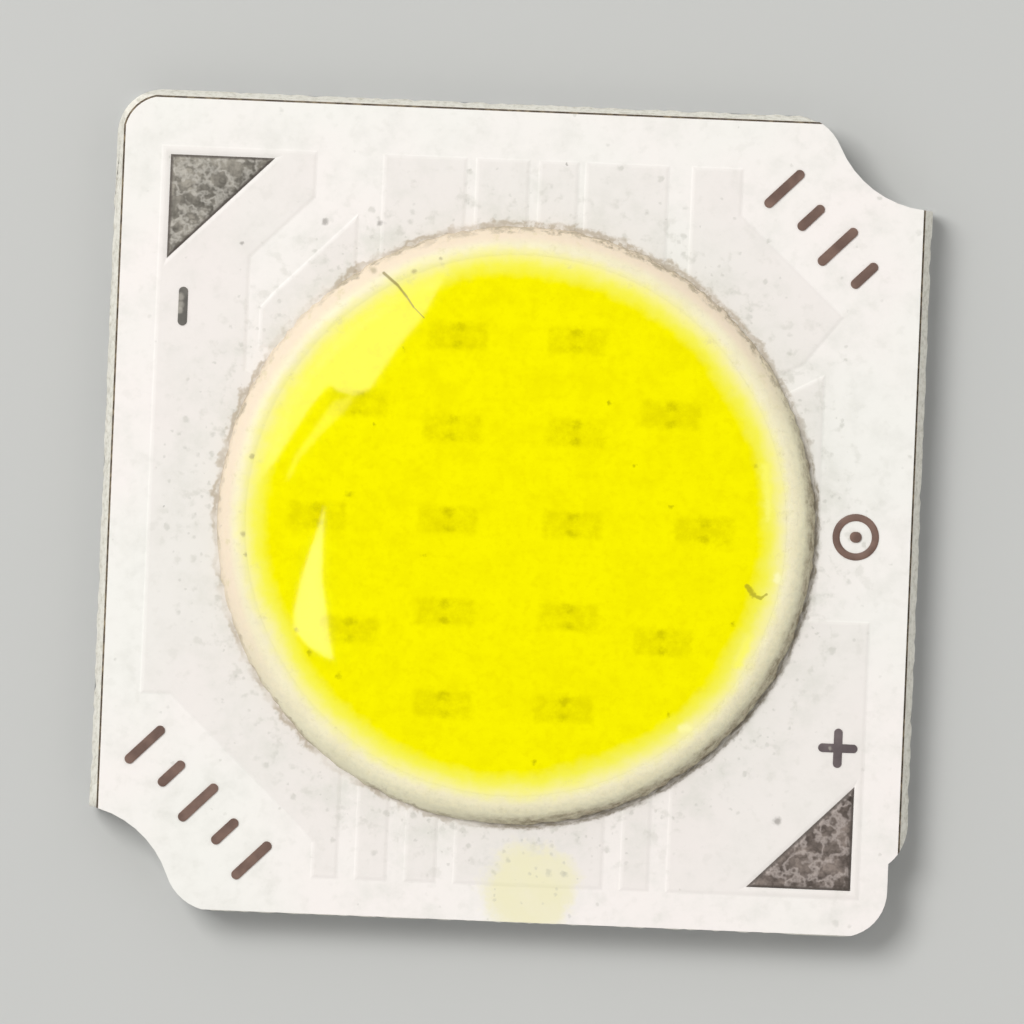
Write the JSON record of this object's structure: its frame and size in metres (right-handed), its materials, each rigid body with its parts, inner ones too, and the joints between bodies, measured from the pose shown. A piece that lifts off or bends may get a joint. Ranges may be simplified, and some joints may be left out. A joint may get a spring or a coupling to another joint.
{
  "type": "cob led",
  "caption": "Square chip-on-board LED: white scored aluminium board with two screw notches, a round silicone dam of yellow phosphor gel, and two triangular solder pads.",
  "frame": {"origin": "centre of the board outline on the underside", "axes": "+Z towards the emitting side, +X towards the side with the plus pad, +Y towards the side with the minus pad"},
  "size_m": [0.015, 0.015, 0.0017],
  "materials": {
    "base_aluminium": "satin",
    "laminate": "matt",
    "white_mask": "satin",
    "copper_foil": "satin",
    "tinning": "satin",
    "die_adhesive": "gloss",
    "led_die": "gloss",
    "bond_gold": "gloss",
    "dam_silicone": "satin",
    "marking_ink": "matt",
    "phosphor_gel": "gloss"
  },
  "bodies": {
    "root": {"base_plate": "base_aluminium", "laminate": "laminate", "solder_mask": "white_mask", "minus_copper": "copper_foil", "plus_copper": "copper_foil", "upper_left_copper": "copper_foil", "upper_right_copper": "copper_foil", "right_copper": "copper_foil", "top_copper_1": "copper_foil", "top_copper_2": "copper_foil", "top_copper_3": "copper_foil", "top_copper_4": "copper_foil", "bottom_copper_1": "copper_foil", "bottom_copper_2": "copper_foil", "bottom_copper_3": "copper_foil", "bottom_copper_4": "copper_foil", "minus_solder": "tinning", "plus_solder": "tinning", "die_attach": "die_adhesive", "led_chip_01": "led_die", "led_chip_02": "led_die", "led_chip_03": "led_die", "led_chip_04": "led_die", "led_chip_05": "led_die", "led_chip_06": "led_die", "led_chip_07": "led_die", "led_chip_08": "led_die", "led_chip_09": "led_die", "led_chip_10": "led_die", "led_chip_11": "led_die", "led_chip_12": "led_die", "led_chip_13": "led_die", "led_chip_14": "led_die", "led_chip_15": "led_die", "led_chip_16": "led_die", "bond_wires_1": "bond_gold", "bond_wires_2": "bond_gold", "bond_wires_3": "bond_gold", "bond_wires_4": "bond_gold", "dam": "dam_silicone", "phosphor_gel": "phosphor_gel"}
  },
  "joints": []
}
